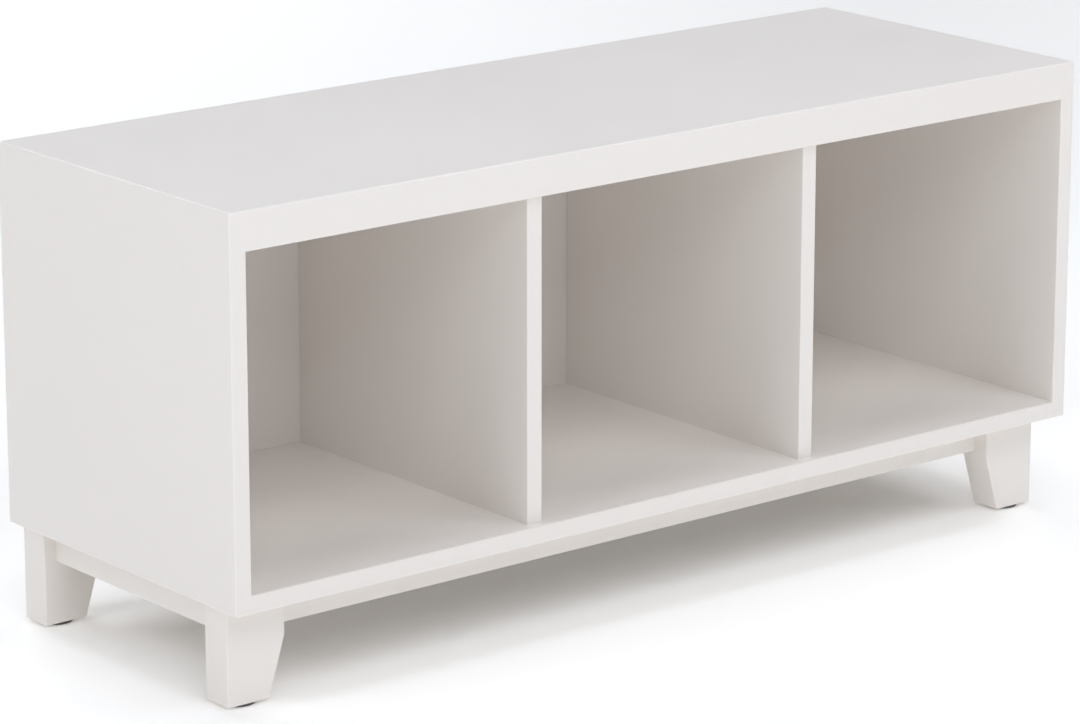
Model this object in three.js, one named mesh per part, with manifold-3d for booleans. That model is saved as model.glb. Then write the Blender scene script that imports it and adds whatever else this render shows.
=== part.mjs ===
// Entryway bench: a painted box of open cubbies under a thick seat, on a low base of four legs and rails.
// Units are millimetres. X runs along the bench, Y from its front (-) to its back (+), Z up.
// The origin is on the floor, under the middle of the bench.

import * as THREE from 'three';
import { mergeVertices } from 'three/addons/utils/BufferGeometryUtils.js';
import Module from 'manifold-3d';

const wasm = await Module();
wasm.setup();

// Driving dimensions of the box.
const benchLength = 1067;
const benchDepth = 381;
const benchHeight = 483;
const boardThickness = 18;
const seatThickness = 38;
const cubbyCount = 3;
const dividerSetback = 10;
const backThickness = 3;
const rebateWidth = 9;

// Driving dimensions of the base.
const baseHeight = 103;
const legWidth = 66;
const legDepth = 36;
const footWidth = 48;
const legStraightHeight = 41;
const legSideInset = 13;
const legFrontInset = 34;
const legBackInset = 4;
const railHeight = 36;
const sideRailInset = 14;
const cornerBlockReach = 50;
const cornerBlockFlat = 6;
const cornerBlockHeight = 24;
const padThickness = 3;
const padRadius = 16;
const padEdge = 0.6;

// Clearance kept between pieces that touch.
const gap = 0.3;

// Sides of the polygons that stand for round pieces.
const roundSides = 12;
const padSides = 24;

// Fasteners: radius and lengths.
const dowelRadius = 4;
const dowelChamfer = 1;
const seatDowelInSeat = 16;
const seatDowelInUpright = 24;
const railDowelLength = 36;
const uprightFastenerOffset = 95;
const uprightScrew = { head: 5, headDepth: 1.2, coneDepth: 4.5, shank: 3.3, shankLength: 18, thread: 2.5, length: 50 };
const uprightScrewSocket = { radius: 2.3, depth: 2.4 };
const blockScrew = { head: 4, headHeight: 2.4, shank: 2, length: 34 };
const blockScrewSlot = { length: 5, width: 0.9, depth: 1.2 };
const blockScrewInset = 17;
const padNail = { head: 3.5, headHeight: 0.8, headRecess: 0.5, shank: 1, length: 20 };
const backPin = { head: 1.5, headHeight: 0.6, shank: 0.7, length: 15 };
const backPinEndInset = 60;
const tipLength = 3;

// Sizes that follow from the driving dimensions.
const halfLength = benchLength / 2;
const frontY = -benchDepth / 2;
const backY = benchDepth / 2;
const boxBottomZ = baseHeight;
const cubbyFloorZ = boxBottomZ + boardThickness;
const seatUndersideZ = benchHeight - seatThickness;
const rebateY = backY - backThickness - gap;
const cubbyWidth = (benchLength - (cubbyCount + 1) * boardThickness) / cubbyCount;
const dividerPitch = cubbyWidth + boardThickness;
const railThickness = boardThickness;
const legTopZ = baseHeight - gap;
const legOuterX = halfLength - legSideInset;
const legInnerX = legOuterX - legWidth;
const legCentreX = legOuterX - legWidth / 2;
const footCentreX = legOuterX - footWidth / 2;
const sideRailCentreX = legOuterX - sideRailInset - railThickness / 2;
const railCentreZ = legTopZ - railHeight / 2;

const FRONT = -1;
const BACK = 1;
const LEFT = -1;
const RIGHT = 1;
const xSides = [['left', LEFT], ['right', RIGHT]];
const ySides = [['front', FRONT], ['back', BACK]];

const paint = { color: 0xe9e6e3, roughness: 0.42, metalness: 0 };
const finishes = {
  outerPaint: paint,
  basePaint: { ...paint, roughness: 0.45 },
  rawTimber: { color: 0xcaa877, roughness: 0.75, metalness: 0 },
  dowelBeech: { color: 0xd8b88a, roughness: 0.7, metalness: 0 },
  zincSteel: { color: 0xb9bcc0, roughness: 0.35, metalness: 1 },
  footPlastic: { color: 0x2a2826, roughness: 0.7, metalness: 0 },
};

const bench = new THREE.Group();
const box = new THREE.Group();
const base = new THREE.Group();
const fasteners = new THREE.Group();
bench.add(box, base, fasteners);

// Turns a closed mesh into a solid that can be cut.
function toSolid(geometry) {
  const bare = geometry.clone();
  bare.deleteAttribute('normal');
  bare.deleteAttribute('uv');
  const merged = mergeVertices(bare);
  return new wasm.Manifold(new wasm.Mesh({
    numProp: 3,
    vertProperties: new Float32Array(merged.attributes.position.array),
    triVerts: new Uint32Array(merged.index.array),
  }));
}

// Cuts every tool out of a blank.
function cutAway(blank, tools) {
  let solid = toSolid(blank);
  for (const tool of tools) {
    solid = solid.subtract(toSolid(tool));
  }
  const mesh = solid.getMesh();
  const geometry = new THREE.BufferGeometry();
  geometry.setAttribute('position', new THREE.BufferAttribute(mesh.vertProperties, 3));
  geometry.setIndex(new THREE.BufferAttribute(mesh.triVerts, 1));
  geometry.computeVertexNormals();
  return geometry;
}

// Adds one piece to a group. Its tools are given in the bench's frame and are moved into the piece's own.
function addPiece(group, name, finish, blank, position, tools = []) {
  const localTools = tools.map((tool) => tool.clone().translate(-position.x, -position.y, -position.z));
  const geometry = localTools.length > 0 ? cutAway(blank, localTools) : blank;
  const mesh = new THREE.Mesh(geometry, new THREE.MeshStandardMaterial(finishes[finish]));
  mesh.name = name;
  mesh.position.copy(position);
  group.add(mesh);
  return mesh;
}

function point(x, y, z) {
  return new THREE.Vector3(x, y, z);
}

// A block between two corners, in the bench's frame.
function blockBetween(low, high) {
  const size = high.clone().sub(low);
  const centre = low.clone().add(high).multiplyScalar(0.5);
  return new THREE.BoxGeometry(size.x, size.y, size.z).translate(centre.x, centre.y, centre.z);
}

// A round piece whose outline is a list of [radius, height] points from end to end, along +Z.
function turned(outline, sides = roundSides) {
  const points = outline.map(([radius, height]) => new THREE.Vector2(radius, height));
  return new THREE.LatheGeometry(points, sides).rotateX(Math.PI / 2);
}

function dowelOutline(length, clearance = 0) {
  const radius = dowelRadius + clearance;
  const half = length / 2 + clearance;
  return [
    [0, -half],
    [radius - dowelChamfer, -half],
    [radius, -half + dowelChamfer],
    [radius, half - dowelChamfer],
    [radius - dowelChamfer, half],
    [0, half],
  ];
}

// Countersunk screw with its head's face at 0 and its point at the top. A hole starts a little below the face.
function uprightScrewOutline(clearance = 0) {
  const s = uprightScrew;
  return [
    [0, -clearance * 2],
    [s.head + clearance, -clearance * 2],
    [s.head + clearance, s.headDepth + clearance],
    [s.shank + clearance, s.coneDepth + clearance],
    [s.shank + clearance, s.shankLength + clearance],
    [s.thread + clearance, s.shankLength + clearance * 2],
    [s.thread + clearance, s.length - tipLength],
    [0, s.length + clearance * 2],
  ];
}

// A straight pin or nail with a round flat head below 0 and its point at the top.
function headedPinOutline(pin, clearance = 0) {
  return [
    [0, -pin.headHeight - clearance],
    [pin.head + clearance, -pin.headHeight - clearance],
    [pin.head + clearance, clearance],
    [pin.shank + clearance, clearance],
    [pin.shank + clearance, pin.length - tipLength],
    [0, pin.length + clearance],
  ];
}

// Flat stock cut to an outline in X and Y, and thickened upwards from 0.
function flatStock(outline, thickness) {
  return new THREE.ExtrudeGeometry(outline, { depth: thickness, bevelEnabled: false });
}

function polygon(corners) {
  return new THREE.Shape(corners.map(([x, y]) => new THREE.Vector2(x, y)));
}

// Uprights stand between the bottom board and the seat: two sides and the dividers between the cubbies.
const uprights = [
  { name: 'side_panel_left', x: -halfLength + boardThickness / 2, front: frontY, back: backY },
  { name: 'divider_left', x: -dividerPitch / 2, front: frontY + dividerSetback, back: rebateY },
  { name: 'divider_right', x: dividerPitch / 2, front: frontY + dividerSetback, back: rebateY },
  { name: 'side_panel_right', x: halfLength - boardThickness / 2, front: frontY, back: backY },
];

const seatDowelLength = seatDowelInSeat + seatDowelInUpright;
const seatDowelZ = seatUndersideZ + (seatDowelInSeat - seatDowelInUpright) / 2;

function seatDowelPlace(upright, ySide) {
  return point(upright.x, ySide * uprightFastenerOffset, seatDowelZ);
}

function uprightScrewPlace(upright, ySide) {
  return point(upright.x, ySide * uprightFastenerOffset, boxBottomZ + gap);
}

function seatDowelHole(upright, ySide) {
  const place = seatDowelPlace(upright, ySide);
  return turned(dowelOutline(seatDowelLength, gap)).translate(place.x, place.y, place.z);
}

function uprightScrewHole(upright, ySide) {
  const place = uprightScrewPlace(upright, ySide);
  return turned(uprightScrewOutline(gap)).translate(place.x, place.y, place.z);
}

// Pins through the back board's edge, into the seat above and the bottom board below.
const backPinPlaces = [];
for (const [xName, xSide] of xSides) {
  const x = xSide * (halfLength - backPinEndInset);
  const y = backY - gap * 2;
  backPinPlaces.push({ name: `back_pin_top_${xName}`, place: point(x, y, seatUndersideZ + rebateWidth / 2) });
  backPinPlaces.push({ name: `back_pin_bottom_${xName}`, place: point(x, y, cubbyFloorZ - rebateWidth / 2) });
}

// A pin's outline points along +Z, and a quarter turn about X points it forwards, into the box.
function pointedForwards(geometry) {
  return geometry.rotateX(Math.PI / 2);
}

function backPinHole(place) {
  return pointedForwards(turned(headedPinOutline(backPin, gap))).translate(place.x, place.y, place.z);
}

// Legs: the front pair stands further in from the edge of the box than the back pair.
function legCentreY(ySide) {
  const outerY = ySide === FRONT ? frontY + legFrontInset : backY - legBackInset;
  return outerY - ySide * legDepth / 2;
}

// The face of a leg that looks towards the middle of the bench. The long rails lie flush with it.
function legInnerY(ySide) {
  return legCentreY(ySide) - ySide * legDepth / 2;
}

function longRailCentreY(ySide) {
  return legInnerY(ySide) + ySide * railThickness / 2;
}

function longRailDowelPlace(xSide, ySide) {
  return point(xSide * legInnerX, longRailCentreY(ySide), railCentreZ);
}

function sideRailDowelPlace(xSide, ySide) {
  return point(xSide * sideRailCentreX, legInnerY(ySide), railCentreZ);
}

function longRailDowelHole(xSide, ySide) {
  const place = longRailDowelPlace(xSide, ySide);
  return turned(dowelOutline(railDowelLength, gap)).rotateY(Math.PI / 2).translate(place.x, place.y, place.z);
}

function sideRailDowelHole(xSide, ySide) {
  const place = sideRailDowelPlace(xSide, ySide);
  return turned(dowelOutline(railDowelLength, gap)).rotateX(Math.PI / 2).translate(place.x, place.y, place.z);
}

function blockScrewPlace(xSide, ySide) {
  const x = xSide * (sideRailCentreX - railThickness / 2 - blockScrewInset);
  const y = legInnerY(ySide) - ySide * blockScrewInset;
  return point(x, y, legTopZ - cornerBlockHeight - gap);
}

function blockScrewHole(xSide, ySide) {
  const place = blockScrewPlace(xSide, ySide);
  return turned(headedPinOutline(blockScrew, gap)).translate(place.x, place.y, place.z);
}

function padNailPlace(xSide, ySide) {
  return point(xSide * footCentreX, legCentreY(ySide), padNail.headRecess + padNail.headHeight);
}

function padNailHole(xSide, ySide) {
  const place = padNailPlace(xSide, ySide);
  return turned(headedPinOutline(padNail, gap)).translate(place.x, place.y, place.z);
}

// The opening under the head of a nail, down through the pad's lower face.
function padNailMouth(xSide, ySide) {
  const place = padNailPlace(xSide, ySide);
  const reach = padNail.head + gap;
  const mouth = new THREE.CylinderGeometry(reach, reach, padThickness, roundSides).rotateX(Math.PI / 2);
  return mouth.translate(place.x, place.y, place.z - padThickness / 2);
}

function addSeat() {
  const blank = new THREE.BoxGeometry(benchLength, benchDepth, seatThickness);
  const centre = point(0, 0, benchHeight - seatThickness / 2);
  const rebate = blockBetween(
    point(-halfLength + rebateWidth, rebateY, seatUndersideZ - rebateWidth),
    point(halfLength - rebateWidth, backY + rebateWidth, seatUndersideZ + rebateWidth),
  );
  const tools = [rebate];
  for (const upright of uprights) {
    for (const [, ySide] of ySides) {
      tools.push(seatDowelHole(upright, ySide));
    }
  }
  tools.push(...backPinPlaces.map(({ place }) => backPinHole(place)));
  addPiece(box, 'top_panel', 'outerPaint', blank, centre, tools);
}

function addBottom() {
  const blank = new THREE.BoxGeometry(benchLength, benchDepth, boardThickness);
  const centre = point(0, 0, boxBottomZ + boardThickness / 2);
  const rebate = blockBetween(
    point(-halfLength + rebateWidth, rebateY, cubbyFloorZ - rebateWidth),
    point(halfLength - rebateWidth, backY + rebateWidth, cubbyFloorZ + rebateWidth),
  );
  const tools = [rebate];
  for (const [, ySide] of ySides) {
    for (const upright of uprights) {
      tools.push(uprightScrewHole(upright, ySide));
    }
    for (const [, xSide] of xSides) {
      tools.push(blockScrewHole(xSide, ySide));
    }
  }
  tools.push(...backPinPlaces.map(({ place }) => backPinHole(place)));
  addPiece(box, 'bottom_panel', 'outerPaint', blank, centre, tools);
}

function addUprights() {
  const height = seatUndersideZ - cubbyFloorZ - gap * 2;
  const centreZ = (seatUndersideZ + cubbyFloorZ) / 2;
  for (const upright of uprights) {
    const depth = upright.back - upright.front;
    const blank = new THREE.BoxGeometry(boardThickness, depth, height);
    const centre = point(upright.x, (upright.front + upright.back) / 2, centreZ);
    const tools = [];
    if (upright.back > rebateY) {
      const towardsMiddle = -Math.sign(upright.x);
      const rebateLine = upright.x + towardsMiddle * (boardThickness / 2 - rebateWidth);
      const beyond = upright.x + towardsMiddle * boardThickness;
      tools.push(blockBetween(
        point(Math.min(rebateLine, beyond), rebateY, cubbyFloorZ - rebateWidth),
        point(Math.max(rebateLine, beyond), backY + rebateWidth, seatUndersideZ + rebateWidth),
      ));
    }
    for (const [, ySide] of ySides) {
      tools.push(seatDowelHole(upright, ySide));
      tools.push(uprightScrewHole(upright, ySide));
    }
    addPiece(box, upright.name, 'outerPaint', blank, centre, tools);
  }
}

function addBack() {
  const width = benchLength - 2 * (rebateWidth + gap);
  const height = seatUndersideZ - cubbyFloorZ + 2 * (rebateWidth - gap);
  const blank = new THREE.BoxGeometry(width, backThickness, height);
  const centre = point(0, backY - backThickness / 2, (seatUndersideZ + cubbyFloorZ) / 2);
  const tools = backPinPlaces.map(({ place }) => backPinHole(place));
  addPiece(box, 'back_panel', 'outerPaint', blank, centre, tools);
}

// A leg is straight down its outer face. Its inner face is straight beside the rails, then runs in to the foot.
function legBlank(xSide) {
  const outer = xSide * legWidth / 2;
  const foot = outer - xSide * footWidth;
  const outline = polygon([
    [outer, padThickness],
    [outer, legTopZ],
    [-outer, legTopZ],
    [-outer, baseHeight - legStraightHeight],
    [foot, padThickness],
  ]);
  return flatStock(outline, legDepth).translate(0, 0, -legDepth / 2).rotateX(Math.PI / 2);
}

function addLegs() {
  for (const [yName, ySide] of ySides) {
    for (const [xName, xSide] of xSides) {
      const tools = [
        longRailDowelHole(xSide, ySide),
        sideRailDowelHole(xSide, ySide),
        padNailHole(xSide, ySide),
      ];
      const place = point(xSide * legCentreX, legCentreY(ySide), 0);
      addPiece(base, `leg_${yName}_${xName}`, 'basePaint', legBlank(xSide), place, tools);
    }
  }
}

function addLongRails() {
  const length = 2 * (legInnerX - gap);
  for (const [yName, ySide] of ySides) {
    const tools = xSides.map(([, xSide]) => longRailDowelHole(xSide, ySide));
    const blank = new THREE.BoxGeometry(length, railThickness, railHeight);
    addPiece(base, `rail_${yName}`, 'basePaint', blank, point(0, longRailCentreY(ySide), railCentreZ), tools);
  }
}

function addSideRails() {
  const frontEnd = legInnerY(FRONT) + gap;
  const backEnd = legInnerY(BACK) - gap;
  for (const [xName, xSide] of xSides) {
    const tools = ySides.map(([, ySide]) => sideRailDowelHole(xSide, ySide));
    const blank = new THREE.BoxGeometry(railThickness, backEnd - frontEnd, railHeight);
    const centre = point(xSide * sideRailCentreX, (frontEnd + backEnd) / 2, railCentreZ);
    addPiece(base, `rail_${xName}`, 'basePaint', blank, centre, tools);
  }
}

// Glued into each corner of the base, against the leg and the two rails.
function addCornerBlocks() {
  for (const [yName, ySide] of ySides) {
    for (const [xName, xSide] of xSides) {
      const inwardX = -xSide;
      const inwardY = -ySide;
      const outline = polygon([
        [0, 0],
        [inwardX * cornerBlockReach, 0],
        [inwardX * cornerBlockReach, inwardY * cornerBlockFlat],
        [inwardX * cornerBlockFlat, inwardY * cornerBlockReach],
        [0, inwardY * cornerBlockReach],
      ]);
      const corner = point(
        xSide * (sideRailCentreX - railThickness / 2 - gap),
        legInnerY(ySide) + inwardY * gap,
        legTopZ - cornerBlockHeight,
      );
      const blank = flatStock(outline, cornerBlockHeight);
      addPiece(base, `corner_block_${yName}_${xName}`, 'rawTimber', blank, corner, [blockScrewHole(xSide, ySide)]);
    }
  }
}

// Round glides, eased round the lower rim, each held by a nail in a mouth at its centre.
function addFootPads() {
  const top = padThickness - gap;
  const blank = turned([[0, 0], [padRadius - padEdge, 0], [padRadius, padEdge], [padRadius, top], [0, top]], padSides);
  for (const [yName, ySide] of ySides) {
    for (const [xName, xSide] of xSides) {
      const place = point(xSide * footCentreX, legCentreY(ySide), 0);
      const tools = [padNailHole(xSide, ySide), padNailMouth(xSide, ySide)];
      addPiece(base, `foot_pad_${yName}_${xName}`, 'footPlastic', blank, place, tools);
    }
  }
}

// Glued dowels join the seat to the uprights, and screws come up through the bottom board into them.
function addUprightFasteners() {
  const dowel = turned(dowelOutline(seatDowelLength));
  const screwBlank = turned(uprightScrewOutline());
  const socketDepth = uprightScrewSocket.depth * 2;
  const socket = new THREE.CylinderGeometry(uprightScrewSocket.radius, uprightScrewSocket.radius, socketDepth, 6);
  const screw = cutAway(screwBlank, [socket.rotateX(Math.PI / 2)]);
  for (const upright of uprights) {
    for (const [yName, ySide] of ySides) {
      const dowelPlace = seatDowelPlace(upright, ySide);
      const screwPlace = uprightScrewPlace(upright, ySide);
      addPiece(fasteners, `${upright.name}_dowel_${yName}`, 'dowelBeech', dowel, dowelPlace);
      addPiece(fasteners, `${upright.name}_screw_${yName}`, 'zincSteel', screw, screwPlace);
    }
  }
}

function addRailDowels() {
  const alongX = turned(dowelOutline(railDowelLength)).rotateY(Math.PI / 2);
  const alongY = turned(dowelOutline(railDowelLength)).rotateX(Math.PI / 2);
  for (const [yName, ySide] of ySides) {
    for (const [xName, xSide] of xSides) {
      const longPlace = longRailDowelPlace(xSide, ySide);
      const sidePlace = sideRailDowelPlace(xSide, ySide);
      addPiece(fasteners, `rail_${yName}_dowel_${xName}`, 'dowelBeech', alongX, longPlace);
      addPiece(fasteners, `rail_${xName}_dowel_${yName}`, 'dowelBeech', alongY, sidePlace);
    }
  }
}

// Pan-headed screws hold the base to the bottom board. A crossed recess takes the driver.
function addBlockScrews() {
  const { length, width, depth } = blockScrewSlot;
  const headFaceZ = -blockScrew.headHeight;
  const slotAlongX = new THREE.BoxGeometry(length, width, depth * 2).translate(0, 0, headFaceZ);
  const slotAlongY = new THREE.BoxGeometry(width, length, depth * 2).translate(0, 0, headFaceZ);
  const screw = cutAway(turned(headedPinOutline(blockScrew)), [slotAlongX, slotAlongY]);
  for (const [yName, ySide] of ySides) {
    for (const [xName, xSide] of xSides) {
      addPiece(fasteners, `block_screw_${yName}_${xName}`, 'zincSteel', screw, blockScrewPlace(xSide, ySide));
    }
  }
}

function addNailsAndPins() {
  const nail = turned(headedPinOutline(padNail));
  for (const [yName, ySide] of ySides) {
    for (const [xName, xSide] of xSides) {
      addPiece(fasteners, `pad_nail_${yName}_${xName}`, 'zincSteel', nail, padNailPlace(xSide, ySide));
    }
  }
  const pin = pointedForwards(turned(headedPinOutline(backPin)));
  for (const { name, place } of backPinPlaces) {
    addPiece(fasteners, name, 'zincSteel', pin, place);
  }
}

addSeat();
addBottom();
addUprights();
addBack();
addLegs();
addLongRails();
addSideRails();
addCornerBlocks();
addFootPads();
addUprightFasteners();
addRailDowels();
addBlockScrews();
addNailsAndPins();

export default bench;
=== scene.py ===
"""Entryway bench: a painted box of open cubbies on a recessed base of legs and rails.

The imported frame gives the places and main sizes, and the values below add the details that it leaves out.
Each operator makes one piece, or one group of like pieces. All sizes are in metres. X runs along the bench,
Y from its open front to its back, Z up.
"""

import math

import bmesh
import bpy
from bpy.props import FloatProperty, FloatVectorProperty, PointerProperty
from mathutils import Matrix, Vector


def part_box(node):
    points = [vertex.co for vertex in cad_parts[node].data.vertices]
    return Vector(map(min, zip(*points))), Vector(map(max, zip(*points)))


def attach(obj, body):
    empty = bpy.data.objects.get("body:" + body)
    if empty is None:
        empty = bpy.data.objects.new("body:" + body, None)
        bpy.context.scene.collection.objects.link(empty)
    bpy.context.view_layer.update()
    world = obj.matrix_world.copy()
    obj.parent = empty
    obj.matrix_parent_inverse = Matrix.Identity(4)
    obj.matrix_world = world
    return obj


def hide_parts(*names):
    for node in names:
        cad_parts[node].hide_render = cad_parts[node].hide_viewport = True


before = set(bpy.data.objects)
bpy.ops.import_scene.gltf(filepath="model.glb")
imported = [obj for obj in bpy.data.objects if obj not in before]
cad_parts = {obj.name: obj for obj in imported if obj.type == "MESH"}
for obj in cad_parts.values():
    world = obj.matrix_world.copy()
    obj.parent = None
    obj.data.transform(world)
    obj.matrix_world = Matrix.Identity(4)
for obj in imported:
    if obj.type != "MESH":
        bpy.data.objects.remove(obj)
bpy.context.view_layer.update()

bl_info = {
    "name": "Entryway bench",
    "version": (1, 0, 0),
    "blender": (4, 5, 0),
    "location": "View3D > Sidebar > Bench",
    "description": "Makes the boards, base, fasteners and paint of an entryway bench around its frame",
    "category": "Object",
}

MM = 0.001

UPRIGHTS = {
    "side_panel_left": "left_side_board",
    "divider_left": "left_divider_board",
    "divider_right": "right_divider_board",
    "side_panel_right": "right_side_board",
}
CORNERS = [(end, side) for end in ("front", "back") for side in ("left", "right")]

SEAT_LOW, SEAT_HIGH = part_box("top_panel")
BOTTOM_LOW, BOTTOM_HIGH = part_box("bottom_panel")
BACK_LOW, BACK_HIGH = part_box("back_panel")
FRONT_Y = SEAT_LOW.y
REAR_Y = SEAT_HIGH.y
SEAT_UNDERSIDE = SEAT_LOW.z
CUBBY_FLOOR = BOTTOM_HIGH.z
OUTER_X = SEAT_HIGH.x
INNER_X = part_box("side_panel_right")[0].x
# The gap that the frame leaves where pieces touch.
HOLE_GAP = 0.3 * MM
# From the top of a leg down to the start of its taper.
LEG_STRAIGHT = 41.0 * MM
# How far a cutting tool stands out of the board that it cuts.
CUTTER_SPARE = 10.0 * MM
# Two places closer than this are the same.
SAME_PLACE = 0.02 * MM
# Edges that turn further than this stay sharp.
SHARP_ANGLE = math.radians(32.0)
BACK_NAILS_ALONG = 9
BACK_NAILS_DOWN = 3
REBATE_X = BACK_HIGH.x + HOLE_GAP
REBATE_Y = BACK_LOW.y - HOLE_GAP
REBATE_TOP = BACK_HIGH.z + HOLE_GAP
REBATE_BOTTOM = BACK_LOW.z - HOLE_GAP


class BenchSettings(bpy.types.PropertyGroup):
    """Sizes and colours of the bench's finish that a user may change."""

    outer_arris: FloatProperty(
        name="Outer arris",
        description="Radius of the rounded edges of the box and of the legs",
        default=1.8 * MM,
        min=0.0,
        subtype="DISTANCE",
        unit="LENGTH",
    )
    opening_arris: FloatProperty(
        name="Opening arris",
        description="Radius of the eased edges round the cubbies and on the dividers",
        default=1.1 * MM,
        min=0.0,
        subtype="DISTANCE",
        unit="LENGTH",
    )
    paint_colour: FloatVectorProperty(
        name="Paint",
        description="Colour of the satin lacquer",
        default=(0.955, 0.908, 0.862),
        min=0.0,
        max=1.0,
        subtype="COLOR",
    )
    paint_roughness: FloatProperty(
        name="Paint roughness",
        description="Roughness of the lacquer: lower is glossier",
        default=0.42,
        min=0.0,
        max=1.0,
        subtype="FACTOR",
    )
    timber_colour: FloatVectorProperty(
        name="Bare timber",
        description="Colour of the unpainted corner blocks",
        default=(0.56, 0.38, 0.21),
        min=0.0,
        max=1.0,
        subtype="COLOR",
    )
    dowel_colour: FloatVectorProperty(
        name="Beech",
        description="Colour of the dowels",
        default=(0.62, 0.43, 0.25),
        min=0.0,
        max=1.0,
        subtype="COLOR",
    )
    pad_colour: FloatVectorProperty(
        name="Foot pads",
        description="Colour of the moulded pads under the legs",
        default=(0.095, 0.088, 0.082),
        min=0.0,
        max=1.0,
        subtype="COLOR",
    )


class StageSettings(bpy.types.PropertyGroup):
    """Where the camera stands and how strong the studio lights are."""

    azimuth: FloatProperty(
        name="Azimuth",
        description="Direction that the camera stands in, from straight in front, to the right",
        default=math.radians(-39.0),
        subtype="ANGLE",
        unit="ROTATION",
    )
    elevation: FloatProperty(
        name="Elevation",
        description="Height of the camera above the horizon, as an angle",
        default=math.radians(15.37),
        subtype="ANGLE",
        unit="ROTATION",
    )
    distance: FloatProperty(
        name="Distance",
        description="From the camera to the middle of its picture",
        default=4.648,
        min=0.1,
        subtype="DISTANCE",
        unit="LENGTH",
    )
    lens: FloatProperty(
        name="Lens",
        description="Focal length on a sensor 36 mm wide, in millimetres",
        default=154.0,
        min=1.0,
    )
    aim: FloatVectorProperty(
        name="Aim",
        description="Point that the camera looks at",
        default=(-0.0180, 0.0052, 0.2150),
        subtype="XYZ",
        unit="LENGTH",
    )
    brightness: FloatProperty(
        name="Brightness",
        description="Makes all the studio lights brighter or dimmer together",
        default=1.0,
        min=0.0,
    )
    light_colour: FloatVectorProperty(
        name="Light colour",
        description="Colour of the studio lights",
        default=(0.918, 0.946, 1.0),
        min=0.0,
        max=1.0,
        subtype="COLOR",
    )
    floor_glow: FloatProperty(
        name="Floor glow",
        description="Light that the white floor gives off around the bench, which keeps its shadows pale",
        default=0.19,
        min=0.0,
    )


# --- Shader maths ---------------------------------------------------------------------------------


class Value:
    """A shader socket that can be used in Python expressions. Each expression adds its Math node."""

    def __init__(self, shader, socket):
        self.shader = shader
        self.socket = socket

    def _math(self, operation, *others):
        inputs = {0: self}
        for place, other in enumerate(others, start=1):
            inputs[place] = other
        return self.shader.node("ShaderNodeMath", {"operation": operation}, inputs)[0]

    def __add__(self, other):
        return self._math("ADD", other)

    __radd__ = __add__

    def __mul__(self, other):
        return self._math("MULTIPLY", other)

    __rmul__ = __mul__

    def __sub__(self, other):
        return self._math("SUBTRACT", other)

    def __rsub__(self, other):
        return (self * -1.0) + other

    def __abs__(self):
        return self._math("ABSOLUTE")

    def largest(self, other):
        return self._math("MAXIMUM", other)

    def ramp(self, start, end):
        """0 below start, 1 above end, and smooth between them."""
        settings = {"interpolation_type": "SMOOTHSTEP"}
        inputs = {"Value": self, "From Min": start, "From Max": end, "To Min": 0.0, "To Max": 1.0}
        return self.shader.node("ShaderNodeMapRange", settings, inputs)["Result"]


class Shader:
    """Builds one material's nodes."""

    def __init__(self, name):
        self.material = bpy.data.materials.new(name)
        self.material.use_nodes = True
        self.tree = self.material.node_tree
        self.tree.nodes.clear()
        self.surface = self.tree.nodes.new("ShaderNodeBsdfPrincipled")
        output = self.tree.nodes.new("ShaderNodeOutputMaterial")
        self.tree.links.new(self.surface.outputs["BSDF"], output.inputs["Surface"])
        self.place = self.node("ShaderNodeTexCoord")["Object"]

    def connect(self, socket, given):
        if isinstance(given, Value):
            self.tree.links.new(given.socket, socket)
        else:
            socket.default_value = given

    def node(self, kind, settings=None, inputs=None):
        """Adds a node: its settings first, then the values or links of its sockets. Returns its outputs."""
        made = self.tree.nodes.new(kind)
        for key, setting in (settings or {}).items():
            setattr(made, key, setting)
        for key, given in (inputs or {}).items():
            self.connect(made.inputs[key], given)
        return Outputs(self, made)

    def set(self, **sockets):
        """Sets the surface shader's sockets. An underscore stands for a space."""
        for key, given in sockets.items():
            self.connect(self.surface.inputs[key.replace("_", " ")], given)

    def mapped(self, scale, turn=(0.0, 0.0, 0.0)):
        """The place on the surface, stretched and turned."""
        inputs = {"Vector": self.place, "Rotation": turn, "Scale": scale}
        return self.node("ShaderNodeMapping", None, inputs)["Vector"]

    def noise(self, scale, detail=2.0, rough=0.5, where=None, warp=0.0):
        inputs = {
            "Vector": where or self.place,
            "Scale": scale,
            "Detail": detail,
            "Roughness": rough,
            "Distortion": warp,
        }
        return self.node("ShaderNodeTexNoise", {"noise_dimensions": "3D"}, inputs)["Fac"]

    def mix(self, factor, first, second):
        """A colour between two colours."""
        settings = {"data_type": "RGBA", "blend_type": "MIX"}
        return self.node("ShaderNodeMix", settings, {"Factor": factor, 6: first, 7: second})[2]

    def rounded_edge(self):
        """1 where the surface turns from one flat face to the next, as on an arris, and 0 on the faces."""
        normal = self.node("ShaderNodeNewGeometry")["Normal"]
        parts = self.node("ShaderNodeSeparateXYZ", None, {"Vector": normal})
        flatness = abs(parts["X"]).largest(abs(parts["Y"])).largest(abs(parts["Z"]))
        return (1.0 - flatness).ramp(0.06, 0.22)

    def relief(self, height, distance):
        """Gives the surface a relief of this height, in metres."""
        inputs = {"Height": height, "Distance": distance, "Strength": 1.0}
        self.set(Normal=self.node("ShaderNodeBump", None, inputs)["Normal"])


class Outputs:
    """A node's outputs by name or by number, ready for expressions."""

    def __init__(self, shader, made):
        self.shader = shader
        self.made = made

    def __getitem__(self, key):
        return Value(self.shader, self.made.outputs[key])


def colour(rgb, factor=1.0):
    """A colour socket's value, lightened or darkened."""
    return (*(min(1.0, channel * factor) for channel in rgb), 1.0)


# --- Finishes -------------------------------------------------------------------------------------


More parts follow.
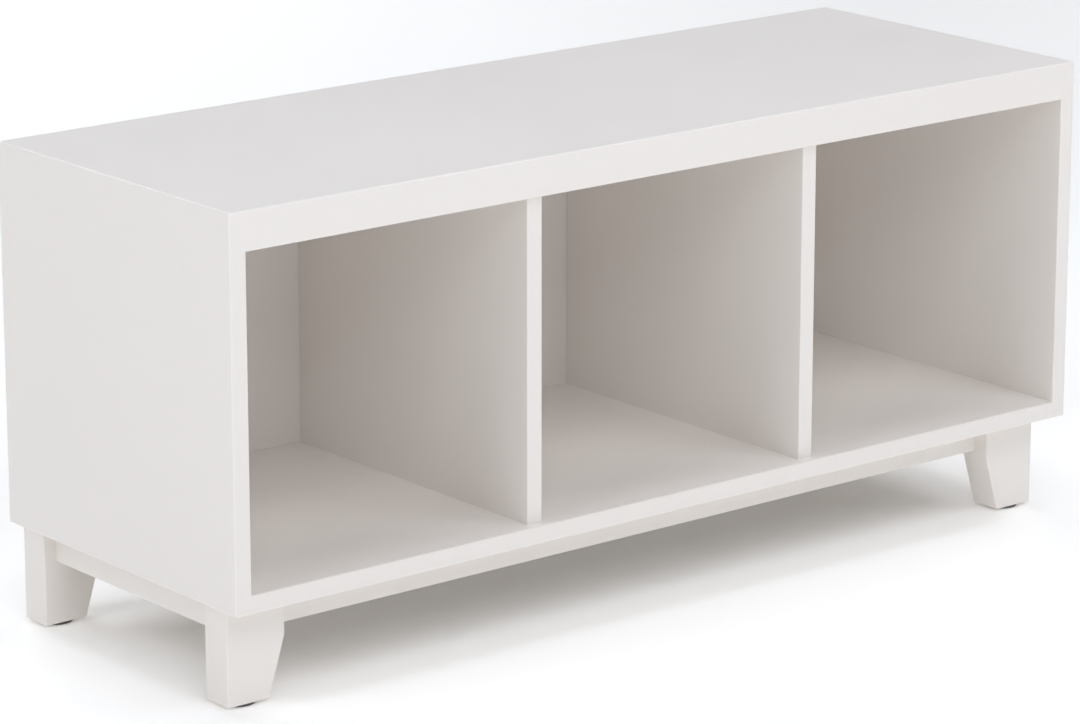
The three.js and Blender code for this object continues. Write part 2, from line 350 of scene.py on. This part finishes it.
def lacquer(name, settings, grain_turn=None):
    """Sprayed satin lacquer. With grain_turn it lies over timber, whose grain shows through a little."""
    shader = Shader(name)
    broad = shader.noise(3.2, 3.0, 0.55)
    cloud = shader.noise(38.0, 4.0, 0.6)
    peel = shader.noise(620.0, 2.0, 0.45)
    dust = shader.noise(1500.0, 1.0, 0.5)
    edge = shader.rounded_edge()
    tone = shader.mix(broad, colour(settings.paint_colour, 0.985), colour(settings.paint_colour, 1.012))
    tone = shader.mix((cloud - 0.5) * 0.5, tone, colour(settings.paint_colour, 0.97))
    height = peel * 0.8 + cloud * 0.6 + dust * 0.12
    if grain_turn is not None:
        along = shader.mapped(scale=(1.0, 1.0, 0.06), turn=grain_turn)
        grain = shader.noise(420.0, 3.0, 0.6, where=along, warp=0.4)
        height = height + grain * 0.9
        tone = shader.mix(grain.ramp(0.55, 0.8) * 0.12, tone, colour(settings.paint_colour, 0.93))
    rough = (cloud - 0.5) * 0.16 + (broad - 0.5) * 0.08 + settings.paint_roughness + edge * 0.05
    shader.set(Base_Color=tone, Roughness=rough, IOR=1.48, Coat_Weight=0.12, Coat_Roughness=0.28)
    shader.relief(height, 0.035 * MM)
    return shader.material


def bare_timber(name, base, rings=70.0):
    """Planed timber with growth rings about Z, its fibres along Z and small dark pores."""
    shader = Shader(name)
    along = shader.mapped(scale=(1.0, 1.0, 0.07))
    settings = {"wave_type": "RINGS", "rings_direction": "Z", "wave_profile": "SAW"}
    inputs = {
        "Vector": along,
        "Scale": rings,
        "Distortion": 2.6,
        "Detail": 3.0,
        "Detail Scale": 1.4,
        "Detail Roughness": 0.55,
    }
    ring = shader.node("ShaderNodeTexWave", settings, inputs)["Fac"]
    fibre = shader.noise(900.0, 3.0, 0.6, where=along)
    pore = shader.noise(1800.0, 1.0, 0.5, where=along).ramp(0.62, 0.72)
    tone = shader.mix(ring * 0.6 + fibre * 0.3, colour(base, 1.12), colour(base, 0.70))
    tone = shader.mix(pore * 0.45, tone, colour(base, 0.45))
    shader.set(Base_Color=tone, Roughness=fibre * 0.2 + 0.58, IOR=1.45)
    shader.relief(ring * 0.5 + fibre - pore * 0.8, 0.06 * MM)
    return shader.material


def zinc(name):
    """Bright zinc plate with a faint blue and straw cast and fine tumbling marks."""
    shader = Shader(name)
    cast = shader.noise(160.0, 2.0, 0.5)
    marks = shader.noise(2600.0, 2.0, 0.7)
    tone = shader.mix(cast, (0.56, 0.60, 0.66, 1.0), (0.68, 0.65, 0.58, 1.0))
    shader.set(Base_Color=tone, Metallic=1.0, Roughness=marks * 0.22 + 0.2)
    shader.relief(marks, 0.01 * MM)
    return shader.material


def moulded_plastic(name, base):
    """Dark moulded plastic with a fine spark-eroded texture and paler scuffs."""
    shader = Shader(name)
    spark = shader.noise(1400.0, 2.0, 0.6)
    scuff = shader.noise(90.0, 4.0, 0.65).ramp(0.55, 0.8)
    tone = shader.mix(scuff * 0.5, colour(base), colour(base, 2.4))
    shader.set(Base_Color=tone, Roughness=spark * 0.25 + 0.45, IOR=1.46)
    shader.relief(spark, 0.03 * MM)
    return shader.material


# --- Modelling ------------------------------------------------------------------------------------


def block(low, high):
    """A rectangular block between two corners."""
    shape = bmesh.new()
    bmesh.ops.create_cube(shape, size=1.0)
    bmesh.ops.scale(shape, vec=high - low, verts=shape.verts)
    bmesh.ops.translate(shape, vec=(low + high) / 2, verts=shape.verts)
    return shape


def turned(outline, sides):
    """A round solid about Z, from a list of (radius, height) points that starts and ends on the axis."""
    shape = bmesh.new()
    rim = [shape.verts.new((radius, 0.0, height)) for radius, height in outline]
    edges = [shape.edges.new(pair) for pair in zip(rim, rim[1:])]
    bmesh.ops.spin(
        shape,
        geom=rim + edges,
        cent=(0.0, 0.0, 0.0),
        axis=(0.0, 0.0, 1.0),
        angle=math.tau,
        steps=sides,
        use_merge=True,
    )
    bmesh.ops.remove_doubles(shape, verts=shape.verts, dist=1e-7)
    bmesh.ops.recalc_face_normals(shape, faces=shape.faces)
    return shape


def moved(shape, place):
    bmesh.ops.translate(shape, vec=place, verts=shape.verts)
    return shape


def rotated(shape, angle, axis):
    rotation = Matrix.Rotation(angle, 3, axis)
    bmesh.ops.rotate(shape, cent=(0.0, 0.0, 0.0), matrix=rotation, verts=shape.verts)
    return shape


def add_to(whole, part):
    """Adds one shape to another."""
    mesh = bpy.data.meshes.new("part")
    part.to_mesh(mesh)
    part.free()
    whole.from_mesh(mesh)
    bpy.data.meshes.remove(mesh)


def cut_away(shape, tools):
    """The shape with every tool cut out of it."""
    body = loose_object("cut_body", shape)
    cutters = [loose_object("cut_tool", tool) for tool in tools]
    for cutter in cutters:
        step = body.modifiers.new("cut", "BOOLEAN")
        step.operation = "DIFFERENCE"
        step.solver = "EXACT"
        step.object = cutter
    bpy.context.view_layer.update()
    result = bmesh.new()
    evaluated = body.evaluated_get(bpy.context.evaluated_depsgraph_get())
    result.from_mesh(evaluated.to_mesh())
    evaluated.to_mesh_clear()
    for spent in [body, *cutters]:
        mesh = spent.data
        bpy.data.objects.remove(spent)
        bpy.data.meshes.remove(mesh)
    bmesh.ops.remove_doubles(result, verts=result.verts, dist=1e-6)
    bmesh.ops.dissolve_limit(result, angle_limit=math.radians(0.5), verts=result.verts, edges=result.edges)
    return result


def grown(shape, face, y, ratio_x, ratio_z, centre):
    """Extrudes a face that looks along Y to a new place and size, and returns the new face."""
    made = bmesh.ops.extrude_face_region(shape, geom=[face])["geom"]
    bmesh.ops.delete(shape, geom=[face], context="FACES_ONLY")
    corners = [item for item in made if isinstance(item, bmesh.types.BMVert)]
    bmesh.ops.translate(shape, vec=(0.0, y - corners[0].co.y, 0.0), verts=corners)
    about_centre = Matrix.Translation(-centre)
    bmesh.ops.scale(shape, vec=(ratio_x, 1.0, ratio_z), space=about_centre, verts=corners)
    return next(item for item in made if isinstance(item, bmesh.types.BMFace))


def cubby_opening(radius):
    """The open front between the boards, flared at its mouth as a round-over bit would leave it."""
    steps = 6
    clear = 0.5 * MM
    half_x = INNER_X
    half_z = (SEAT_UNDERSIDE - CUBBY_FLOOR) / 2
    centre = Vector((0.0, 0.0, (SEAT_UNDERSIDE + CUBBY_FLOOR) / 2))
    reach = Vector((half_x - clear, 0.0, half_z - clear))
    depth = Vector((0.0, FRONT_Y + radius + clear, 0.0))
    shape = block(centre - reach + depth, centre + reach + depth + Vector((0.0, clear, 0.0)))
    face = min(shape.faces, key=lambda item: item.calc_center_median().y)
    outset = -clear
    angles = [math.pi / 2 * step / steps for step in range(steps + 1)]
    rings = [(FRONT_Y + radius * (1 - math.sin(a)), radius * (1 - math.cos(a))) for a in angles]
    for y, wider in [*rings, (FRONT_Y - clear, radius)]:
        ratio_x = (half_x + wider) / (half_x + outset)
        ratio_z = (half_z + wider) / (half_z + outset)
        face = grown(shape, face, y, ratio_x, ratio_z, centre)
        outset = wider
    bmesh.ops.recalc_face_normals(shape, faces=shape.faces)
    return shape


def loose_object(name, shape):
    mesh = bpy.data.meshes.new(name)
    shape.to_mesh(mesh)
    shape.free()
    made = bpy.data.objects.new(name, mesh)
    bpy.context.scene.collection.objects.link(made)
    return made


def split(shape, place, normal):
    """Adds a line of edges where a plane crosses the shape."""
    everything = shape.verts[:] + shape.edges[:] + shape.faces[:]
    bmesh.ops.bisect_plane(shape, geom=everything, plane_co=place, plane_no=normal, dist=1e-7)


def near(a, b):
    return abs(a - b) < SAME_PLACE


def edges_on(shape, x=None, y=None, z=None):
    """The edges that lie in all of the given planes. x stands for a plane on each side of the middle."""

    def lies_in(edge, planes):
        given = [(axis, plane) for axis, plane in enumerate(planes) if plane is not None]
        return all(near(corner.co[axis], plane) for corner in edge.verts for axis, plane in given)

    sides = [None] if x is None else [x, -x]
    return [edge for edge in shape.edges if any(lies_in(edge, (side, y, z)) for side in sides)]


def runs_along(edge, axis):
    """Whether an edge has some length along this axis."""
    start, end = (corner.co[axis] for corner in edge.verts)
    return abs(start - end) > MM


def outer_rim(shape, z):
    """The edges of the box at this height, and its upright corners."""
    rim = edges_on(shape, x=OUTER_X, z=z)
    for y in (FRONT_Y, REAR_Y):
        rim += edges_on(shape, y=y, z=z)
        rim += edges_on(shape, x=OUTER_X, y=y)
    return rim


def ease(shape, edges, radius, segments=4):
    """Rounds these edges."""
    unique = list(dict.fromkeys(edges))
    if unique and radius > 0.0:
        bmesh.ops.bevel(
            shape,
            geom=unique,
            offset=radius,
            offset_type="OFFSET",
            segments=segments,
            profile=0.5,
            affect="EDGES",
            material=-1,
            clamp_overlap=True,
        )


def keep_creases(shape):
    """Marks the edges that stay sharp, so that only eased edges are shaded as round."""
    for face in shape.faces:
        face.smooth = True
    for edge in shape.edges:
        edge.smooth = len(edge.link_faces) == 2 and edge.calc_face_angle(0.0) < SHARP_ANGLE


def piece(name, shape, material, node):
    """Makes a finished piece that stands for a node and rides on the frame."""
    keep_creases(shape)
    made = loose_object(name, shape)
    made.data.materials.append(material)
    shading = made.modifiers.new("even_shading", "WEIGHTED_NORMAL")
    shading.keep_sharp = True
    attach(made, "root")
    if node is not None:
        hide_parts(node)
    return made


def settings_of(context):
    return context.scene.bench_settings


def finish(name, make):
    """A material by name, made once and shared by like pieces."""
    return bpy.data.materials.get(name) or make(name)


# --- Operators ------------------------------------------------------------------------------------


def back_rebate(bottom, top):
    """The cutting tool for the rebate of the back board, between two heights."""
    low = Vector((-REBATE_X, REBATE_Y, bottom))
    high = Vector((REBATE_X, REAR_Y + CUTTER_SPARE, top))
    return block(low, high)


def screw_mouth(low, high):
    """The cutting tool for the countersunk mouth of a screw's hole, around the screw's own box."""
    head = (high.x - low.x) / 2 + 0.15 * MM
    below = -4.0 * MM
    sink = 1.3 * MM
    tip = 4.6 * MM
    outline = [(0.0, below), (head, below), (head, sink), (head * 0.62, tip), (0.0, tip)]
    return moved(turned(outline, 48), Vector(((low.x + high.x) / 2, (low.y + high.y) / 2, low.z)))


class BENCH_OT_seat(bpy.types.Operator):
    """Makes the thick seat board, eased round its top and along the cubbies"""

    bl_idname = "bench.seat"
    bl_label = "Seat"

    def execute(self, context):
        settings = settings_of(context)
        shape = block(SEAT_LOW, SEAT_HIGH)
        ease(shape, outer_rim(shape, SEAT_HIGH.z), settings.outer_arris, 5)
        rebate = back_rebate(SEAT_UNDERSIDE - CUTTER_SPARE, REBATE_TOP)
        shape = cut_away(shape, [rebate, cubby_opening(settings.opening_arris)])
        paint = finish("box_lacquer", lambda made: lacquer(made, settings))
        piece("seat_board", shape, paint, "top_panel")
        return {"FINISHED"}


class BENCH_OT_bottom(bpy.types.Operator):
    """Makes the bottom board, with the mouths of its screw holes underneath"""

    bl_idname = "bench.bottom"
    bl_label = "Bottom"

    def execute(self, context):
        settings = settings_of(context)
        tools = [back_rebate(REBATE_BOTTOM, CUBBY_FLOOR + CUTTER_SPARE)]
        for upright in UPRIGHTS:
            for end in ("front", "back"):
                low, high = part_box(f"{upright}_screw_{end}")
                tools.append(screw_mouth(low, high))
        shape = block(BOTTOM_LOW, BOTTOM_HIGH)
        ease(shape, outer_rim(shape, BOTTOM_LOW.z), settings.outer_arris, 5)
        shape = cut_away(shape, [*tools, cubby_opening(settings.opening_arris)])
        paint = finish("box_lacquer", lambda made: lacquer(made, settings))
        piece("bottom_board", shape, paint, "bottom_panel")
        return {"FINISHED"}


class BENCH_OT_uprights(bpy.types.Operator):
    """Makes the two sides, rebated for the back, and the dividers between the cubbies"""

    bl_idname = "bench.uprights"
    bl_label = "Sides and dividers"

    def execute(self, context):
        settings = settings_of(context)
        paint = finish("box_lacquer", lambda made: lacquer(made, settings))
        for node, name in UPRIGHTS.items():
            low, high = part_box(node)
            low.z, high.z = CUBBY_FLOOR, SEAT_UNDERSIDE
            shape = block(low, high)
            if node.startswith("side"):
                rebate = back_rebate(CUBBY_FLOOR - CUTTER_SPARE, SEAT_UNDERSIDE + CUTTER_SPARE)
                outer = edges_on(shape, x=OUTER_X, y=FRONT_Y) + edges_on(shape, x=OUTER_X, y=REAR_Y)
                ease(shape, outer, settings.outer_arris, 5)
                shape = cut_away(shape, [rebate, cubby_opening(settings.opening_arris)])
            else:
                front = [edge for edge in edges_on(shape, y=low.y) if runs_along(edge, 2)]
                ease(shape, front, settings.opening_arris)
            piece(name, shape, paint, node)
        return {"FINISHED"}


def back_nail_places():
    """Where the nails go in: evenly round the rebate and down the middle of each divider."""
    places = []
    edge = (REBATE_X - INNER_X) / 2
    span_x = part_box("back_pin_top_right")[1].x
    for step in range(BACK_NAILS_ALONG):
        x = span_x * (2 * step / (BACK_NAILS_ALONG - 1) - 1)
        places += [(x, SEAT_UNDERSIDE + edge), (x, CUBBY_FLOOR - edge)]
    divider_x = sum(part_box("divider_right")[end].x for end in (0, 1)) / 2
    height = SEAT_UNDERSIDE - CUBBY_FLOOR
    for step in range(BACK_NAILS_DOWN):
        z = CUBBY_FLOOR + height * (step + 0.5) / BACK_NAILS_DOWN
        places += [(x, z) for x in (-INNER_X - edge, -divider_x, divider_x, INNER_X + edge)]
    return places


class BENCH_OT_back(bpy.types.Operator):
    """Makes the thin back board and the nails that hold it in its rebate"""

    bl_idname = "bench.back"
    bl_label = "Back"

    def execute(self, context):
        settings = settings_of(context)
        shape = block(BACK_LOW, BACK_HIGH)
        ease(shape, edges_on(shape, y=BACK_HIGH.y), 0.4 * MM, 2)
        head = 1.5 * MM
        sunk = 0.25 * MM
        behind = -1.0 * MM
        mouth = head + 0.3 * MM
        root = head + 0.1 * MM
        dimple = [(0.0, behind), (mouth, behind), (root, 2 * sunk), (0.0, 2 * sunk)]
        nail = [(0.0, sunk), (head * 0.7, sunk), (head, 2 * sunk), (head, 3 * sunk), (0.0, 3 * sunk)]
        dimples = bmesh.new()
        nails = bmesh.new()
        for x, z in back_nail_places():
            place = Vector((x, BACK_HIGH.y, z))
            for outline, whole in ((dimple, dimples), (nail, nails)):
                add_to(whole, moved(rotated(turned(outline, 20), math.pi / 2, "X"), place))
        shape = cut_away(shape, [dimples])
        paint = finish("back_lacquer", lambda made: lacquer(made, settings))
        piece("back_board", shape, paint, "back_panel")
        pins = piece("back_nails", nails, finish("bright_zinc", zinc), None)
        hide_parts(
            *(f"back_pin_{end}_{side}" for end in ("top", "bottom") for side in ("left", "right"))
        )
        return {"FINISHED"}


class BENCH_OT_legs(bpy.types.Operator):
    """Makes the four legs, straight beside the rails and then tapered on the inner face only"""

    bl_idname = "bench.legs"
    bl_label = "Legs"

    def execute(self, context):
        settings = settings_of(context)
        paint = finish("base_lacquer", lambda made: lacquer(made, settings, grain_turn=(0.0, 0.0, 0.0)))
        for end, side in CORNERS:
            node = f"leg_{end}_{side}"
            low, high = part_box(node)
            sign = math.copysign(1.0, low.x + high.x)
            inner = min(abs(low.x), abs(high.x))
            outer = max(abs(low.x), abs(high.x))
            pad_low, pad_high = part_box(f"foot_pad_{end}_{side}")
            foot_inner = abs(pad_low.x + pad_high.x) - outer
            bend = BOTTOM_LOW.z - LEG_STRAIGHT
            high.z = BOTTOM_LOW.z
            shape = block(low, high)
            split(shape, (0.0, 0.0, bend), (0.0, 0.0, 1.0))
            toe = [v for v in shape.verts if near(v.co.z, low.z) and near(abs(v.co.x), inner)]
            bmesh.ops.translate(shape, vec=(sign * (foot_inner - inner), 0.0, 0.0), verts=toe)
            kept_square = edges_on(shape, z=high.z) + edges_on(shape, z=bend)
            eased = [edge for edge in shape.edges if edge not in kept_square]
            ease(shape, eased, settings.outer_arris, 4)
            piece(f"{end}_{side}_leg", shape, paint, node)
        return {"FINISHED"}


class BENCH_OT_rails(bpy.types.Operator):
    """Makes the four rails between the legs, eased along their lower edges"""

    bl_idname = "bench.rails"
    bl_label = "Rails"

    def execute(self, context):
        settings = settings_of(context)
        for side, turn_of_grain in (
            ("front", (0.0, math.pi / 2, 0.0)),
            ("back", (0.0, math.pi / 2, 0.0)),
            ("left", (math.pi / 2, 0.0, 0.0)),
            ("right", (math.pi / 2, 0.0, 0.0)),
        ):
            low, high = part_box(f"rail_{side}")
            high.z = BOTTOM_LOW.z
            long_way = 0 if side in ("front", "back") else 1
            low[long_way] -= HOLE_GAP
            high[long_way] += HOLE_GAP
            shape = block(low, high)
            lower = [edge for edge in edges_on(shape, z=low.z) if runs_along(edge, long_way)]
            ease(shape, lower, settings.outer_arris, 4)
            coat = "long_rail_lacquer" if long_way == 0 else "side_rail_lacquer"
            paint = finish(coat, lambda made: lacquer(made, settings, grain_turn=turn_of_grain))
            piece(f"{side}_rail", shape, paint, f"rail_{side}")
        return {"FINISHED"}


class BENCH_OT_foot_pads(bpy.types.Operator):
    """Makes the round dark pads under the legs, each with the mouth of its nail's hole"""

    bl_idname = "bench.foot_pads"
    bl_label = "Foot pads"

    def execute(self, context):
        settings = settings_of(context)
        plastic = finish("pad_plastic", lambda made: moulded_plastic(made, settings.pad_colour))
        for end, side in CORNERS:
            node = f"foot_pad_{end}_{side}"
            low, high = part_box(node)
            nail_low, nail_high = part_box(f"pad_nail_{end}_{side}")
            radius = (high.x - low.x) / 2
            mouth = (nail_high.x - nail_low.x) / 2 + HOLE_GAP
            top = high.z - low.z + HOLE_GAP
            hole_depth = 1.4 * MM
            shape = turned(
                [
                    (0.0, hole_depth),
                    (mouth, hole_depth),
                    (mouth, 0.3 * MM),
                    (mouth + 0.4 * MM, 0.0),
                    (radius - 0.9 * MM, 0.0),
                    (radius - 0.3 * MM, 0.2 * MM),
                    (radius, 0.8 * MM),
                    (radius, top),
                    (0.0, top),
                ],
                64,
            )
            moved(shape, Vector(((low.x + high.x) / 2, (low.y + high.y) / 2, low.z)))
            piece(f"{end}_{side}_foot_pad", shape, plastic, node)
        return {"FINISHED"}


class BENCH_OT_fasteners(bpy.types.Operator):
    """Gives the dowels, screws, nails and corner blocks their finishes"""

    bl_idname = "bench.fasteners"
    bl_label = "Fasteners"

    def execute(self, context):
        settings = settings_of(context)
        metal = finish("bright_zinc", zinc)
        beech = finish("beech", lambda made: bare_timber(made, settings.dowel_colour, rings=160.0))
        timber = finish("corner_timber", lambda made: bare_timber(made, settings.timber_colour))
        finishes = {"_screw": metal, "_nail": metal, "_dowel": beech, "corner_block": timber}
        for node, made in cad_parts.items():
            for word, material in finishes.items():
                if word in f"_{node}":
                    made.data.materials.clear()
                    made.data.materials.append(material)
        return {"FINISHED"}


# Each light's name, azimuth and elevation in degrees, distance, width and power in watts.
STUDIO_LIGHTS = (
    ("low_front_light", 0.0, 20.0, 5.0, 2.6, 18.0),
    ("front_left_light", -30.0, 40.0, 5.0, 2.6, 70.0),
    ("near_front_light", 29.0, 44.0, 2.6, 1.0, 10.5),
    ("left_light", -90.0, 35.0, 5.0, 2.6, 61.0),
    ("right_light", 90.0, 50.0, 5.0, 2.0, 50.0),
    ("back_light", 180.0, 45.0, 5.0, 2.6, 78.0),
    ("overhead_light", 0.0, 90.0, 5.0, 2.6, 48.0),
)
BENCH_MIDDLE = Vector((0.0, 0.0, 0.25))
WHITE = (1.0, 1.0, 1.0, 1.0)
BLACK = (0.0, 0.0, 0.0, 1.0)
FLOOR_HALF_SIDE = 30.0
# The floor's glow is painted light that rises twice, between these distances outside the bench's edge, so
# it is dimmest under the bench and paints the soft edge of the shadow there.
NEAR_GLOW = (-0.18, 0.02)
FAR_GLOW = (0.9, 4.0)
FAR_GLOW_STRENGTH = 0.4
SENSOR_WIDTH = 36.0


def direction(azimuth, elevation):
    """Towards a point on the sky: azimuth 0 is straight in front of the bench, and grows to its right."""
    flat = math.cos(elevation)
    return Vector((math.sin(azimuth) * flat, -math.cos(azimuth) * flat, math.sin(elevation)))


class BENCH_OT_stage(bpy.types.Operator):
    """Makes the pale floor, the soft studio lights and the camera"""

    bl_idname = "bench.stage"
    bl_label = "Stage"

    def execute(self, context):
        stage = context.scene.stage_settings
        self.floor(stage)
        self.surroundings(context.scene)
        for name, azimuth, elevation, distance, width, power in STUDIO_LIGHTS:
            place = BENCH_MIDDLE + direction(math.radians(azimuth), math.radians(elevation)) * distance
            self.soft_light(name, place, width, power * stage.brightness, stage.light_colour)
        self.camera(context.scene, stage)
        return {"FINISHED"}

    def floor(self, stage):
        shape = bmesh.new()
        bmesh.ops.create_grid(shape, x_segments=1, y_segments=1, size=FLOOR_HALF_SIDE)
        made = loose_object("studio_floor", shape)
        shader = Shader("floor_paper")
        tooth = shader.noise(900.0, 2.0, 0.5)
        parts = shader.node("ShaderNodeSeparateXYZ", None, {"Vector": shader.place})
        outside = (abs(parts["X"]) - OUTER_X).largest(abs(parts["Y"]) - REAR_Y)
        # Painted light from the floor, shaped round the bench's footprint: none under the bench, more
        # outside it, which paints the shadow beneath.
        glow = outside.ramp(*NEAR_GLOW) * stage.floor_glow + outside.ramp(*FAR_GLOW) * FAR_GLOW_STRENGTH
        shader.set(
            Base_Color=(1.0, 0.994, 0.976, 1.0),
            Roughness=0.9,
            Emission_Color=shader.mix(glow, BLACK, WHITE),
            Emission_Strength=1.0,
        )
        shader.relief(tooth, 0.02 * MM)
        made.data.materials.append(shader.material)

    def surroundings(self, scene):
        world = bpy.data.worlds.new("studio")
        scene.world = world
        world.use_nodes = True
        background = world.node_tree.nodes["Background"]
        background.inputs["Color"].default_value = WHITE
        background.inputs["Strength"].default_value = 0.02

    def soft_light(self, name, place, width, power, tint):
        data = bpy.data.lights.new(name, "AREA")
        data.shape = "SQUARE"
        data.size = width
        data.energy = power
        data.color = tint
        made = bpy.data.objects.new(name, data)
        bpy.context.scene.collection.objects.link(made)
        made.location = place
        made.rotation_euler = (BENCH_MIDDLE - place).to_track_quat("-Z", "Y").to_euler()

    def camera(self, scene, stage):
        data = bpy.data.cameras.new("studio_camera")
        data.sensor_width = SENSOR_WIDTH
        data.lens = stage.lens
        data.clip_start = 0.05
        data.clip_end = 100.0
        made = bpy.data.objects.new("studio_camera", data)
        scene.collection.objects.link(made)
        back = direction(stage.azimuth, stage.elevation)
        made.location = Vector(stage.aim) + back * stage.distance
        made.rotation_euler = (-back).to_track_quat("-Z", "Y").to_euler()
        scene.camera = made
        scene.view_settings.view_transform = "Standard"


OPERATORS = (
    BENCH_OT_seat,
    BENCH_OT_bottom,
    BENCH_OT_uprights,
    BENCH_OT_back,
    BENCH_OT_legs,
    BENCH_OT_rails,
    BENCH_OT_foot_pads,
    BENCH_OT_fasteners,
    BENCH_OT_stage,
)


class BENCH_PT_pieces(bpy.types.Panel):
    """Lists the bench's operators in the sidebar"""

    bl_idname = "BENCH_PT_pieces"
    bl_label = "Bench"
    bl_space_type = "VIEW_3D"
    bl_region_type = "UI"
    bl_category = "Bench"

    def draw(self, context):
        for operator in OPERATORS:
            self.layout.operator(operator.bl_idname)


CLASSES = (BenchSettings, StageSettings, *OPERATORS, BENCH_PT_pieces)


def register():
    for cls in CLASSES:
        bpy.utils.register_class(cls)
    bpy.types.Scene.bench_settings = PointerProperty(type=BenchSettings)
    bpy.types.Scene.stage_settings = PointerProperty(type=StageSettings)


def unregister():
    del bpy.types.Scene.stage_settings
    del bpy.types.Scene.bench_settings
    for cls in reversed(CLASSES):
        bpy.utils.unregister_class(cls)


def call(operator):
    """Runs an operator by its class, and stops the script if it didn't finish."""
    group, name = operator.bl_idname.split(".")
    result = getattr(getattr(bpy.ops, group), name)()
    if "FINISHED" not in result:
        raise RuntimeError(f"{operator.bl_label} wasn't made")


def main():
    register()
    for operator in OPERATORS:
        call(operator)


if __name__ == "__main__":
    main()
